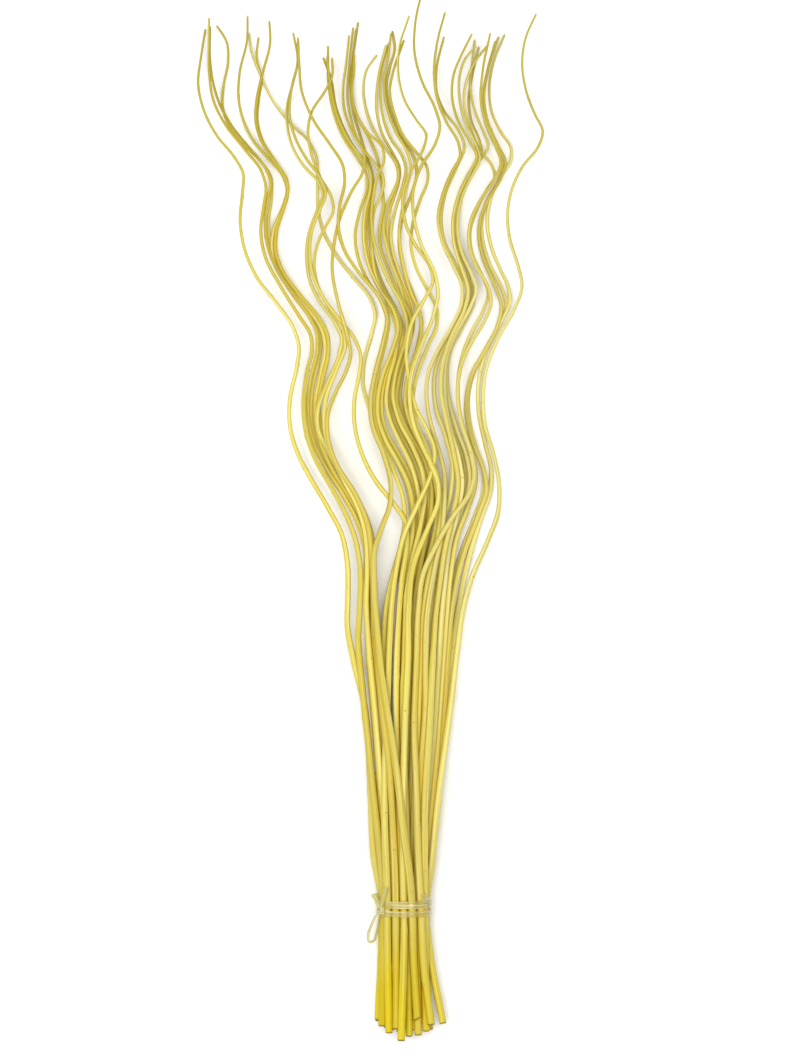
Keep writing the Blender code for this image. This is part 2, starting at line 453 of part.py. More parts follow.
class LaidStem:
    """A stem's shape on the grid: across, radius, slope and height at each step along the bunch."""

    def __init__(self, stem, draw):
        self.name = stem.name
        self.rank = (-stem.row, stem.name == LAST_LAID, stem.place)
        slot = slot_across(stem)
        splay = TIE_ACROSS + (slot - TIE_ACROSS) * SPLAY_BELOW_TIE
        ragged = (draw.uniform(8, 20), splay + draw.uniform(-1, 1))
        start = stem.cut_end or ragged
        hold = ((TIE_ALONG - 14, slot), (TIE_ALONG + 9, slot))
        lower = (start,) + (() if stem.bends[0][0] < TIE_ALONG else hold[:1])
        bends = tuple(bend for bend in stem.bends if bend[0] > TIE_ALONG)
        below = tuple(bend for bend in stem.bends if bend[0] < TIE_ALONG)
        route = lower + below + (hold if below else hold[1:]) + bends
        self.start = start[0]
        self.tip = stem.bends[-1][0]
        self.across = blurred(blurred(curve_through(route, GRID), BEND_SMOOTHING), BEND_SMOOTHING)
        self.radius = np.interp(GRID, *zip(*TAPER)) * draw.uniform(*GIRTH)
        if stem.row >= FRONT_ROWS and not stem.cut_end:
            self.radius = np.minimum(self.radius, INNER_RADIUS)
        self.half_width = self.radius * np.sqrt(1 + np.gradient(self.across, GRID_STEP) ** 2)
        self.there = (GRID > self.start - 6) & (GRID < self.tip + 6)
        self.height = self.wanted_height(stem, draw)

    def wanted_height(self, stem, draw):
        """The stem's own height before the others push it up: its slot at the tie, then a wavy fan."""
        share = smoothstep(GRID, CURL_START, CURL_FULL)
        level = max(0.0, 1 - stem.row / (len(ROW_SIZES) - 2))
        fan = self.radius + FLOOR_GAP + CURL_DEPTH * level + draw.uniform(-3, 3)
        length = DEPTH_WAVE_LENGTH * draw.uniform(0.85, 1.2)
        wave = DEPTH_WAVE * np.sin(2 * math.pi * GRID / length + draw.uniform(0, 2 * math.pi))
        height = (1 - share) * slot_height(stem) + share * (fan + wave)
        return np.maximum(height, self.radius + FLOOR_GAP)

    def lay_on(self, others):
        """Lifts the stem clear of those already laid, the lift spread along it so that it stays smooth."""
        gap = TIE_GAP + (CURL_GAP - TIE_GAP) * smoothstep(GRID, TIE_ALONG + 20, TIE_ALONG + 150)
        need = self.height
        for other in others:
            reach = self.half_width + other.half_width + gap
            overlap = 1 - ((self.across - other.across) / reach) ** 2
            touching = (overlap > 0) & self.there & other.there
            lift = (self.radius + other.radius + gap) * np.sqrt(np.clip(overlap, 0, None))
            need = np.where(touching, np.maximum(need, other.height + lift), need)
        self.height = blurred(widened(need, LIFT_REACH), LIFT_REACH)

    def ring_places(self):
        """Where the tube's rings stand: closer together where the stem bends more."""
        along = np.linspace(self.start, self.tip, 500)
        across = np.interp(along, GRID, self.across)
        height = np.interp(along, GRID, self.height)
        turn = np.hypot(*(np.gradient(np.gradient(line, along), along) for line in (across, height)))
        turn = np.convolve(np.pad(turn, 6, mode="edge"), np.full(13, 1 / 13), mode="valid")
        rings_per_mm = np.clip(np.sqrt(turn / (8 * BEND_TOLERANCE)), 1 / 70, 1 / FINEST_STEP)
        density = (rings_per_mm[1:] + rings_per_mm[:-1]) / 2
        count = np.concatenate(([0.0], np.cumsum(np.diff(along) * density)))
        rings = min(MOST_RINGS, max(12, math.ceil(count[-1]) + 1))
        return np.interp(np.linspace(0, count[-1], rings), count, along)


def laid_stems():
    """All the stems, laid one on another from the lowest row to the highest."""
    draw = np.random.default_rng(11)
    stems = sorted((LaidStem(stem, draw) for stem in STEMS), key=lambda stem: stem.rank)
    for index, stem in enumerate(stems):
        stem.lay_on(stems[:index])
    return stems


def top_of(stems, across, along):
    """How high the stems reach at this place."""
    at = int(round(along / GRID_STEP))
    tops = [RIBBON_THICK]
    for stem in stems:
        inside = stem.half_width[at] ** 2 - (stem.across[at] - across) ** 2
        if inside > 0:
            tops.append(stem.height[at] + math.sqrt(inside))
    return max(tops)


def new_collection(name, hidden=False):
    collection = bpy.data.collections.new(name)
    bpy.context.scene.collection.children.link(collection)
    collection.hide_render = hidden
    return collection


def new_material(name, colour, roughness, alpha=1.0):
    material = bpy.data.materials.new(name)
    material.use_nodes = True
    shader = material.node_tree.nodes["Principled BSDF"]
    shader.inputs["Base Color"].default_value = (*colour, 1.0)
    shader.inputs["Roughness"].default_value = roughness
    shader.inputs["Metallic"].default_value = 0.0
    shader.inputs["Alpha"].default_value = alpha
    return material


def add_stem(stem, collection, material):
    """The stem as one tapering six-sided tube."""
    places = stem.ring_places()
    curve = bpy.data.curves.new("stem_" + stem.name, "CURVE")
    curve.dimensions = "3D"
    curve.bevel_depth = MM
    curve.bevel_resolution = 1
    curve.use_fill_caps = True
    spline = curve.splines.new("POLY")
    spline.points.add(len(places) - 1)
    for point, along in zip(spline.points, places):
        across = np.interp(along, GRID, stem.across)
        height = np.interp(along, GRID, stem.height)
        point.co = (across * MM, along * MM, height * MM, 1.0)
        point.radius = np.interp(along, GRID, stem.radius)
    spline.use_smooth = True
    tube = bpy.data.objects.new("stem_" + stem.name, curve)
    tube.data.materials.append(material)
    collection.objects.link(tube)
    return tube


def tie_outline(stems, low, high, clear):
    """The tight loop round all the stems between these two places, as (across, height) corners."""
    held = (GRID > low - 5) & (GRID < high + 5)
    angles = [math.radians(-90 + 360 * side / OUTLINE_SIDES) for side in range(OUTLINE_SIDES + 1)]
    reach = []
    for angle in angles:
        outward = [
            (stem.across * math.cos(angle) + stem.height * math.sin(angle) + stem.half_width)[held].max()
            for stem in stems
        ]
        reach.append(max(outward) + clear)
    corners = []
    for side in range(OUTLINE_SIDES):
        first, second = angles[side], angles[side + 1]
        turn = math.sin(second - first)
        across = (reach[side] * math.sin(second) - reach[side + 1] * math.sin(first)) / turn
        height = (reach[side + 1] * math.cos(first) - reach[side] * math.cos(second)) / turn
        corners.append((across, height))
    return corners


def crosses_here(across, height, outline):
    """Whether the ribbon passes to the next turn here: along the underside, and up the right side."""
    lowest = min(corner[1] for corner in outline)
    highest = max(corner[1] for corner in outline)
    share = (height - lowest) / (highest - lowest)
    underside = abs(across - TIE_ACROSS) < UNDERSIDE_REACH and share < 0.5
    return underside or (across > TIE_ACROSS and SIDE_CROSSING[0] < share < SIDE_CROSSING[1])


def solid_ribbon(name, shape, offset, collection):
    """The object for a ribbon drawn as an open surface, with its thickness."""
    mesh = bpy.data.meshes.new(name)
    shape.to_mesh(mesh)
    shape.free()
    ribbon = bpy.data.objects.new(name, mesh)
    collection.objects.link(ribbon)
    solidify = ribbon.modifiers.new("Thickness", "SOLIDIFY")
    solidify.thickness = RIBBON_THICK * MM
    solidify.offset = offset
    solidify.use_even_offset = True
    return ribbon


def drawn_out(shape, edges, step):
    """Extrudes the edges by a step, and gives the new ones."""
    drawn = bmesh.ops.extrude_edge_only(shape, edges=edges)["geom"]
    moved = [item for item in drawn if isinstance(item, bmesh.types.BMVert)]
    bmesh.ops.translate(shape, verts=moved, vec=[value * MM for value in step])
    edges = [item for item in drawn if isinstance(item, bmesh.types.BMEdge)]
    return [edge for edge in edges if all(v in moved for v in edge.verts)]


def add_turns(outline, collection):
    """Both turns of the ribbon round the bunch, with the places where it crosses from one to the other."""
    shape = bmesh.new()
    start = TURN_EDGES[0] * MM
    corners = [shape.verts.new((across * MM, start, height * MM)) for across, height in outline]
    edges = [shape.edges.new(pair) for pair in zip(corners, corners[1:] + corners[:1])]
    for low, high in zip(TURN_EDGES, TURN_EDGES[1:]):
        edges = drawn_out(shape, edges, (0, high - low, 0))
    bmesh.ops.recalc_face_normals(shape, faces=shape.faces)
    middle = sum(height for _, height in outline) / len(outline)
    face = next(iter(shape.faces))
    if face.normal.z * (face.calc_center_median().z - middle * MM) < 0:
        bmesh.ops.reverse_faces(shape, faces=shape.faces)
    between = (TURN_EDGES[1] + TURN_EDGES[2]) / 2
    open_faces = []
    for face in shape.faces:
        centre = face.calc_center_median() / MM
        if abs(centre.y - between) < 0.5 and not crosses_here(centre.x, centre.z, outline):
            open_faces.append(face)
    bmesh.ops.delete(shape, geom=open_faces, context="FACES")
    return solid_ribbon("tie_ribbon", shape, 1.0, collection)


def add_strip(name, path, width, collection):
    """A free length of ribbon: its route drawn out sideways."""
    shape = bmesh.new()
    points = [shape.verts.new([value * MM for value in point]) for point in path]
    edges = [shape.edges.new(pair) for pair in zip(points, points[1:])]
    drawn_out(shape, edges, [width * share for share in RIBBON_LEAN])
    return solid_ribbon(name, shape, 0.0, collection)


def free_route(stems, route, seat):
    """The route from the knot: clear of the stems below it, and falling away from the knot past them."""
    points = [(seat[0], KNOT_PLACE[1], seat[1])]
    for across, along, over in route:
        fall = HANG_SLOPE * math.dist((across, along), KNOT_PLACE)
        under = max(top_of(stems, across + aside, along) for aside in (-RIBBON_SPAN, 0, RIBBON_SPAN))
        points.append((across, along, max(under + over, seat[1] - fall)))
    return points


def knot_seat(outline):
    """The knot's middle, as (across, height), and the turn that lays it flat on the bunch's shoulder."""
    upper = [index for index, corner in enumerate(outline) if corner[1] > outline[0][1] + KNOT_LEVEL]
    nearest = min(upper, key=lambda index: abs(outline[index][0] - KNOT_PLACE[0]))
    before, after = outline[nearest - 1], outline[(nearest + 1) % len(outline)]
    outward = np.array([after[1] - before[1], before[0] - after[0]])
    outward /= np.linalg.norm(outward)
    seat = np.array(outline[nearest]) + outward * (RIBBON_THICK + KNOT_SIZE[2] - KNOT_SINK)
    return seat, math.atan2(outward[0], outward[1])


def add_knot(seat, turn, collection):
    """The knot, a flattened ball on the shoulder of the bunch."""
    bpy.ops.mesh.primitive_uv_sphere_add(segments=14, ring_count=8, radius=MM)
    knot = bpy.context.object
    knot.name = "knot"
    knot.scale = KNOT_SIZE
    bpy.ops.object.transform_apply(location=False, rotation=False, scale=True)
    knot.location = (seat[0] * MM, KNOT_PLACE[1] * MM, seat[1] * MM)
    knot.rotation_euler = (0, turn, 0)
    for holder in list(knot.users_collection):
        holder.objects.unlink(knot)
    collection.objects.link(knot)


def applied(ribbon):
    """Fixes the ribbon's modifiers into its mesh."""
    evaluated = ribbon.evaluated_get(bpy.context.evaluated_depsgraph_get())
    mesh = bpy.data.meshes.new_from_object(evaluated)
    ribbon.modifiers.clear()
    ribbon.data = mesh


def add_tie(stems, collection, material):
    """The ribbon: two turns, the knot, one bow loop and two tails, joined in one piece."""
    pieces = new_collection("ribbon pieces", hidden=True)
    outline = tie_outline(stems, TURN_EDGES[0], TURN_EDGES[-1], RIBBON_CLEAR)
    ribbon = add_turns(outline, collection)
    seat, turn = knot_seat(outline)
    add_knot(seat, turn, pieces)
    bow = free_route(stems, BOW_ROUTE, seat)
    add_strip("bow", bow + [(seat[0], KNOT_PLACE[1] - 1, seat[1] + 1)], BOW_WIDTH, pieces)
    add_strip("left_tail", free_route(stems, LEFT_TAIL_ROUTE, seat), TAIL_WIDTH, pieces)
    add_strip("right_tail", free_route(stems, RIGHT_TAIL_ROUTE, seat), TAIL_WIDTH, pieces)
    union = ribbon.modifiers.new("Joined", "BOOLEAN")
    union.operation = "UNION"
    union.operand_type = "COLLECTION"
    union.collection = pieces
    union.solver = "EXACT"
    union.use_self = True
    applied(ribbon)
    for piece in list(pieces.objects):
        bpy.data.objects.remove(piece)
    bpy.data.collections.remove(pieces)
    ribbon.data.materials.clear()
    ribbon.data.materials.append(material)
    return ribbon


def centre_on_origin(objects):
    """Hangs the objects on one empty, moved so that their box stands centred on the origin."""
    bpy.context.view_layer.update()
    graph = bpy.context.evaluated_depsgraph_get()
    corners = np.array([
        evaluated.matrix_world @ vertex.co
        for evaluated in (item.evaluated_get(graph) for item in objects)
        for vertex in evaluated.to_mesh().vertices
    ])
    low, high = corners.min(axis=0), corners.max(axis=0)
    datum = bpy.data.objects.new("bunch_datum", None)
    bpy.context.scene.collection.objects.link(datum)
    datum.location = (-(low[0] + high[0]) / 2, -(low[1] + high[1]) / 2, -low[2])
    for item in objects:
        item.parent = datum
    bpy.context.view_layer.update()


def main():
    for item in list(bpy.data.objects):
        bpy.data.objects.remove(item)
    bunch = new_collection("curly_willow_bunch")
    willow = new_material("yellow_willow", (0.80, 0.70, 0.12), 0.45)
    clear_ribbon = new_material("clear_ribbon", (0.86, 0.80, 0.62), 0.25, alpha=0.75)
    stems = laid_stems()
    objects = [add_stem(stem, bunch, willow) for stem in stems]
    objects.append(add_tie(stems, bunch, clear_ribbon))
    centre_on_origin(objects)


if __name__ == "__main__":
    main()
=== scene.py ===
"""A tied bunch of dyed yellow curly willow, lying on a pale surface and seen from straight above.

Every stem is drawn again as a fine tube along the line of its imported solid, with its swellings, scars, cut
end and tip. The clear ribbon is drawn again as two creased turns with a knot, a bow and two tails. Lengths
are in metres, and the bunch lies along Y with its cut ends at -Y.
"""

import logging
import math
from dataclasses import dataclass, field
from enum import Enum
from typing import Iterable, Sequence

import bmesh
import bpy
import numpy as np
from mathutils import Matrix, Vector


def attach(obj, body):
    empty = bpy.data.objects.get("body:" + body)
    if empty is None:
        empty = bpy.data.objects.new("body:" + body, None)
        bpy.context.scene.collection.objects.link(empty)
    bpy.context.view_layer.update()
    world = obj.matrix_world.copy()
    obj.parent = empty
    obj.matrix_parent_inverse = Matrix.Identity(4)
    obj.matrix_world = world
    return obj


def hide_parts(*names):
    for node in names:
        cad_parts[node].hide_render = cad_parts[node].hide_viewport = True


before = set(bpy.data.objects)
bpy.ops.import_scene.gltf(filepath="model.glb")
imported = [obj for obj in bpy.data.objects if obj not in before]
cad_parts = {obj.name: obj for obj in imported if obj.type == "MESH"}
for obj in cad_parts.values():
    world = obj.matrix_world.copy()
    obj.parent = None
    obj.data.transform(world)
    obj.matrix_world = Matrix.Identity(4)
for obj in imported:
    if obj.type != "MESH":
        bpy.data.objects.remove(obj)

LOG = logging.getLogger("willow_bunch")
MM = 0.001
FILM_THICKNESS = 0.22 * MM
Colour = tuple[float, float, float]


class Slot(Enum):
    """The record's material slots."""

    WILLOW = "willow"
    RIBBON = "ribbon"


class StemFace(Enum):
    """Which finish a face of a stem takes."""

    BARK = 0
    CUT_WOOD = 1


def on_picture(across: float, down: float, height: float) -> Vector:
    """The place above a point of the picture, where one point is one millimetre of the surface.

    Args:
        across: The point's distance from the picture's left edge.
        down: Its distance from the top edge.
        height: The height above the surface, in millimetres.

    Returns:
        The place, in metres.
    """
    return Vector((across - 370.37, 513.45 - down, height)) * MM


def smooth_path(points: Sequence[Vector], count: int) -> list[Vector]:
    """Evenly numbered places on a smooth curve through the points.

    Args:
        points: The points that it goes through.
        count: How many places to give.

    Returns:
        The places, ends included.
    """
    rows = np.array([tuple(point) for point in points])
    lengths = np.concatenate(([0.0], np.cumsum(np.linalg.norm(np.diff(rows, axis=0), axis=1))))
    slopes = np.gradient(rows, lengths, axis=0)
    places = []
    for along in np.linspace(0.0, lengths[-1], count):
        index = int(np.clip(np.searchsorted(lengths, along) - 1, 0, len(lengths) - 2))
        span = lengths[index + 1] - lengths[index]
        step = (along - lengths[index]) / span
        places.append(Vector(
            rows[index] * (1 + 2 * step) * (1 - step) ** 2
            + rows[index + 1] * (3 - 2 * step) * step**2
            + slopes[index] * span * step * (1 - step) ** 2
            - slopes[index + 1] * span * step**2 * (1 - step)))
    return places


def linked(shape: bmesh.types.BMesh, name: str, finishes: Sequence[bpy.types.Material]) -> bpy.types.Object:
    """Makes a piece of the bunch from its shape.

    Args:
        shape: The shape, which is freed.
        name: The piece's name.
        finishes: Its materials.

    Returns:
        The piece, riding with the bunch.
    """
    mesh = bpy.data.meshes.new(name)
    shape.to_mesh(mesh)
    shape.free()
    for finish in finishes:
        mesh.materials.append(finish)
    piece = bpy.data.objects.new(name, mesh)
    bpy.context.scene.collection.objects.link(piece)
    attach(piece, "root")
    return piece


def drawn_on(shape: bmesh.types.BMesh, rim: Sequence[bmesh.types.BMEdge]) -> tuple[list, list]:
    """Extrudes a row of edges, with the new row still in the same place.

    Args:
        shape: The shape that the edges belong to.
        rim: The row.

    Returns:
        The new row's corners and its edges.
    """
    drawn = bmesh.ops.extrude_edge_only(shape, edges=rim)["geom"]
    corners = [item for item in drawn if isinstance(item, bmesh.types.BMVert)]
    edges = [item for item in drawn if isinstance(item, bmesh.types.BMEdge)]
    return corners, [edge for edge in edges if all(end in corners for end in edge.verts)]


class NodeTree:
    """A material's nodes, added and joined by name."""

    def __init__(self, name: str) -> None:
        """Starts an empty material.

        Args:
            name: The material's name.
        """
        self.material = bpy.data.materials.new(name)
        self.material.use_nodes = True
        self.tree = self.material.node_tree
        self.shader = self.tree.nodes["Principled BSDF"]

    def add(self, kind: str, inputs: dict[str | int, object] | None = None,
            **settings: object) -> bpy.types.Node:
        """Adds a node.

        Args:
            kind: The node's type name, without its ShaderNode prefix.
            inputs: A value or an output socket for each named input.
            **settings: The node's own properties.

        Returns:
            The new node.
        """
        node = self.tree.nodes.new("ShaderNode" + kind)
        for setting, value in settings.items():
            setattr(node, setting, value)
        for name, value in (inputs or {}).items():
            self.feed(node.inputs[name], value)
        return node

    def feed(self, socket: bpy.types.NodeSocket, value: object) -> None:
        """Joins an output to the socket, or sets its value.

        Args:
            socket: The input.
            value: An output socket, or the value itself.
        """
        if isinstance(value, bpy.types.NodeSocket):
            self.tree.links.new(value, socket)
        else:
            socket.default_value = value

    def math(self, operation: str, *values: object, clamp: bool = False) -> bpy.types.NodeSocket:
        """A Math node's result.

        Args:
            operation: The node's operation.
            *values: Its inputs, numbers or sockets.
            clamp: Whether the result is held between nought and one.

        Returns:
            The result socket.
        """
        return self.add("Math", dict(enumerate(values)), operation=operation, use_clamp=clamp).outputs[0]

    def mix(self, share: object, first: object, second: object) -> bpy.types.NodeSocket:
        """Two colours mixed.

        Args:
            share: How much of the second is used.
            first: The first colour, or a socket.
            second: The second colour, or a socket.

        Returns:
            The mixed colour's socket.
        """
        node = self.add("Mix", data_type="RGBA")
        self.feed(node.inputs[0], share)
        for index, value in ((6, first), (7, second)):
            self.feed(node.inputs[index], (*value, 1.0) if isinstance(value, tuple) else value)
        return node.outputs[2]

    def ramp(self, factor: bpy.types.NodeSocket,
             stops: Sequence[tuple[float, Colour]]) -> bpy.types.NodeSocket:
        """A colour ramp.

        Args:
            factor: The socket that it reads.
            stops: The place and colour of each stop.

        Returns:
            The colour's socket.
        """
        node = self.add("ValToRGB", {"Fac": factor})
        elements = node.color_ramp.elements
        while len(elements) < len(stops):
            elements.new(0.5)
        for element, (place, colour) in zip(elements, stops):
            element.position = place
            element.color = (*colour, 1.0)
        return node.outputs[0]

    def rise(self, value: object, low: float, high: float) -> bpy.types.NodeSocket:
        """Nought below low, one above high, and a smooth rise between.

        Args:
            value: The socket that it reads.
            low: Where the rise starts.
            high: Where it ends.

        Returns:
            The result socket.
        """
        node = self.add("MapRange", {"Value": value, "From Min": low, "From Max": high})
        node.interpolation_type = "SMOOTHSTEP"
        return node.outputs[0]

    def noise(self, vector: object, scale: Sequence[float], detail: float = 2.0) -> bpy.types.NodeSocket:
        """Noise stretched along the axes.

        Args:
            vector: The coordinates that it reads.
            scale: How many features a metre along each axis.
            detail: The noise's detail.

        Returns:
            The noise value's socket.
        """
        stretched = self.add("Mapping", {"Vector": vector, "Scale": tuple(scale)}).outputs[0]
        return self.add("TexNoise", {"Vector": stretched, "Scale": 1.0, "Detail": detail}).outputs[0]

    def bump(self, height: bpy.types.NodeSocket, distance: float,
             below: object = None) -> bpy.types.NodeSocket:
        """A bump from a height.

        Args:
            height: The height's socket.
            distance: How far the surface seems to rise, in metres.
            below: A bump that this one adds to.

        Returns:
            The normal's socket.
        """
        node = self.add("Bump", {"Height": height, "Distance": distance, "Strength": 1.0})
        if below is not None:
            self.feed(node.inputs["Normal"], below)
        return node.outputs[0]


@dataclass(frozen=True)
class DyedBark:
    """Satin yellow bark: lemon at the cut ends, paler at the tie, golden above and olive at the tips."""

    lemon: Colour = (0.61, 0.49, 0.0)
    straw: Colour = (0.61, 0.53, 0.12)
    yellow: Colour = (0.66, 0.56, 0.085)
    gold: Colour = (0.57, 0.48, 0.07)
    olive: Colour = (0.40, 0.34, 0.03)
    shade: Colour = (0.43, 0.31, 0.0)
    # Painted shade colour for the gaps where stems lie close together.
    painted_crevice_shade: Colour = (0.66, 0.42, 0.0)
    glow: Colour = (0.82, 0.75, 0.30)
    # Pale colour: random fade, and painted light on the overlit right-hand stems.
    fade_and_painted_light: Colour = (0.68, 0.63, 0.27)
    scar: Colour = (0.30, 0.21, 0.02)
    rim: Colour = (0.14, 0.105, 0.004)
    roughness: float = 0.5

    def make(self) -> bpy.types.Material:
        """Builds the material, which reads each stem's own straightened place and its dye.

        Returns:
            The material.
        """
        nodes = NodeTree("dyed_bark")
        place = nodes.add("Attribute", attribute_name="straight").outputs["Vector"]
        own_dye = nodes.add("Attribute", attribute_name="dye").outputs["Color"]
        dye = nodes.add("SeparateColor", {0: own_dye})
        along = nodes.add("SeparateXYZ", {0: place}).outputs[2]
        own = nodes.add("CombineXYZ", {0: dye.outputs[2], 1: dye.outputs[2]}).outputs[0]
        moved = nodes.add("VectorMath", {0: place, 1: own}, operation="ADD").outputs[0]
        colour = self.coats(nodes, moved, along, dye)
        streak = nodes.noise(moved, (520, 520, 7), 3.0)
        dark = nodes.math("MULTIPLY", nodes.rise(streak, 0.50, 0.78), 0.8)
        streaked = nodes.mix(dark, colour, self.shade)
        bright = nodes.rise(nodes.noise(moved, (400, 400, 5)), 0.5, 0.75)
        above = nodes.math("ADD", nodes.math("MULTIPLY", nodes.rise(along, 0.05, 0.16), 0.55), 0.04)
        lit = nodes.mix(nodes.math("MULTIPLY", bright, above), streaked, self.glow)
        spread = nodes.add("Mapping", {"Vector": moved, "Scale": (330, 330, 95)}).outputs[0]
        pores = nodes.add("TexVoronoi", {"Vector": spread, "Scale": 1.0})
        freckle = nodes.math("SUBTRACT", 1.0, nodes.rise(pores.outputs["Distance"], 0.10, 0.20))
        freckled = nodes.mix(nodes.math("MULTIPLY", freckle, 0.25), lit, self.scar)
        scarred = self.marks(nodes, freckled, along)
        nodes.feed(nodes.shader.inputs["Base Color"], scarred)
        rough = nodes.math("ADD", nodes.math("MULTIPLY", streak, 0.22), self.roughness - 0.11)
        nodes.feed(nodes.shader.inputs["Roughness"], rough)
        nodes.shader.inputs["Specular IOR Level"].default_value = 0.16
        grain = nodes.bump(nodes.noise(moved, (900, 900, 16), 4.0), 0.00022)
        ridged = nodes.bump(nodes.noise(moved, (330, 330, 5), 2.0), 0.0004, grain)
        nodes.feed(nodes.shader.inputs["Normal"], nodes.bump(freckle, 0.00008, ridged))
        return nodes.material

    def coats(self, nodes: NodeTree, place: bpy.types.NodeSocket, along: bpy.types.NodeSocket,
              dye: bpy.types.Node) -> bpy.types.NodeSocket:
        """The dye's colour from the cut end to the tip, and how much paler or deeper this stem took it. The
        paler wash varies at random, and on the right-hand stems it is mostly painted light: an overlit,
        washed-out patch along the middle of their length.

        Args:
            nodes: The material's nodes.
            place: The straightened place, moved by the stem's own chance.
            along: The distance from the cut end.
            dye: How much deeper and how much paler the stem took its dye, and its chance; on the right-hand
                stems the paleness is partly painted light.

        Returns:
            The colour's socket.
        """
        drift = nodes.math("MULTIPLY", nodes.noise(place, (30, 30, 9)), 0.09)
        base = nodes.ramp(nodes.math("SUBTRACT", nodes.math("ADD", along, drift), 0.045), (
            (0.0, self.lemon), (0.05, self.lemon), (0.13, self.straw), (0.25, self.straw),
            (0.38, self.yellow), (0.62, self.yellow), (0.82, self.gold), (0.99, self.olive)))
        # Painted light: the paler wash is strongest along the middle of the length, where the right-hand
        # stems are overlit.
        upper = nodes.math("MULTIPLY", nodes.rise(along, 0.30, 0.48), nodes.math(
            "SUBTRACT", 1.0, nodes.rise(along, 0.72, 0.9)))
        pale_reach = nodes.math("ADD", nodes.math("MULTIPLY", upper, 0.7), 0.3)
        pale = nodes.mix(nodes.math("MULTIPLY", dye.outputs[1], pale_reach), base, self.fade_and_painted_light)
        return nodes.mix(nodes.math("MULTIPLY", dye.outputs[0], 0.5), pale, self.shade)

    def marks(self, nodes: NodeTree, colour: bpy.types.NodeSocket,
              along: bpy.types.NodeSocket) -> bpy.types.NodeSocket:
        """Adds the leaf scars, painted shade in golden brown where stems lie close, and the dark line at the
        cut.

        Args:
            nodes: The material's nodes.
            colour: The bark's colour so far.
            along: The distance from the cut end.

        Returns:
            The marked colour's socket.
        """
        scar = nodes.rise(nodes.add("Attribute", attribute_name="scar").outputs["Fac"], 0.4, 0.95)
        scarred = nodes.mix(nodes.math("MULTIPLY", scar, 0.7), colour, self.scar)
        # Painted shade: an ambient occlusion mask turns the bark deep golden brown where stems lie close
        # together.
        hidden = nodes.add("AmbientOcclusion", {"Distance": 0.010}, samples=8).outputs["AO"]
        crevice_shade_share = nodes.math("SUBTRACT", 1.0, nodes.rise(hidden, 0.08, 0.72))
        crevice_shaded = nodes.mix(nodes.math("MULTIPLY", crevice_shade_share, 0.9), scarred, self.painted_crevice_shade)
        edge = nodes.math("SUBTRACT", 1.0, nodes.rise(along, 0.0007, 0.0019))
        return nodes.mix(nodes.math("MULTIPLY", edge, 0.85), crevice_shaded, self.rim)


@dataclass(frozen=True)
class CutWood:
    """The sawn face of a stem: yellow-stained wood with rings, a pith and a dark bark line."""

    wood: Colour = (0.66, 0.52, 0.10)
    ring: Colour = (0.44, 0.30, 0.045)
    pith: Colour = (0.20, 0.12, 0.03)
    bark: Colour = (0.09, 0.07, 0.012)

    def make(self) -> bpy.types.Material:
        """Builds the material, which reads the distance from the stem's middle.

        Returns:
            The material.
        """
        nodes = NodeTree("cut_wood")
        place = nodes.add("Attribute", attribute_name="straight").outputs["Vector"]
        flat = nodes.add("VectorMath", {0: place, 1: (1.0, 1.0, 0.0)}, operation="MULTIPLY").outputs[0]
        middle = nodes.add("VectorMath", {0: flat}, operation="LENGTH").outputs["Value"]
        wobble = nodes.math("MULTIPLY", nodes.noise(flat, (500, 500, 1)), 0.0007)
        reach = nodes.math("SUBTRACT", nodes.math("ADD", middle, wobble), 0.00035)
        rings = nodes.math("SINE", nodes.math("MULTIPLY", reach, 6200.0))
        body = nodes.mix(nodes.rise(rings, 0.2, 1.0), self.wood, self.ring)
        grainy = nodes.mix(nodes.rise(nodes.noise(flat, (2600, 2600, 1)), 0.5, 0.75), body, self.ring)
        centre = nodes.math("SUBTRACT", 1.0, nodes.rise(reach, 0.0004, 0.0007))
        pithed = nodes.mix(centre, grainy, self.pith)
        outside = nodes.rise(middle, 0.00265, 0.0031)
        nodes.feed(nodes.shader.inputs["Base Color"], nodes.mix(outside, pithed, self.bark))
        nodes.shader.inputs["Roughness"].default_value = 0.8
        fibre = nodes.noise(flat, (1800, 1800, 1), 4.0)
        nodes.feed(nodes.shader.inputs["Normal"], nodes.bump(fibre, 0.0003))
        return nodes.material


@dataclass(frozen=True)
class ClearFilm:
    """Cream-coloured ribbon film: see-through, glossy and finely creased along its length."""

    tint: Colour = (0.55, 0.50, 0.12)
    light: Colour = (0.84, 0.80, 0.44)
    cover: float = 0.40
    roughness: float = 0.16

    def make(self) -> bpy.types.Material:
        """Builds the material.

        Returns:
            The material.
        """
        nodes = NodeTree("clear_film")
        place = nodes.add("Attribute", attribute_name="strip").outputs["Vector"]
        crease = nodes.noise(place, (35, 1100, 1), 3.0)
        colour = nodes.mix(nodes.rise(crease, 0.45, 0.7), self.tint, self.light)
        nodes.feed(nodes.shader.inputs["Base Color"], colour)
        thicker = nodes.math("MULTIPLY", nodes.rise(crease, 0.42, 0.68), 0.35)
        cover = nodes.math("ADD", thicker, self.cover - 0.15)
        nodes.feed(nodes.shader.inputs["Alpha"], cover)
        nodes.shader.inputs["Roughness"].default_value = self.roughness
        nodes.shader.inputs["Specular IOR Level"].default_value = 0.8
        nodes.shader.inputs["Coat Weight"].default_value = 0.6
        nodes.shader.inputs["Coat Roughness"].default_value = 0.12
        nodes.feed(nodes.shader.inputs["Normal"], nodes.bump(crease, 0.0006))
        return nodes.material


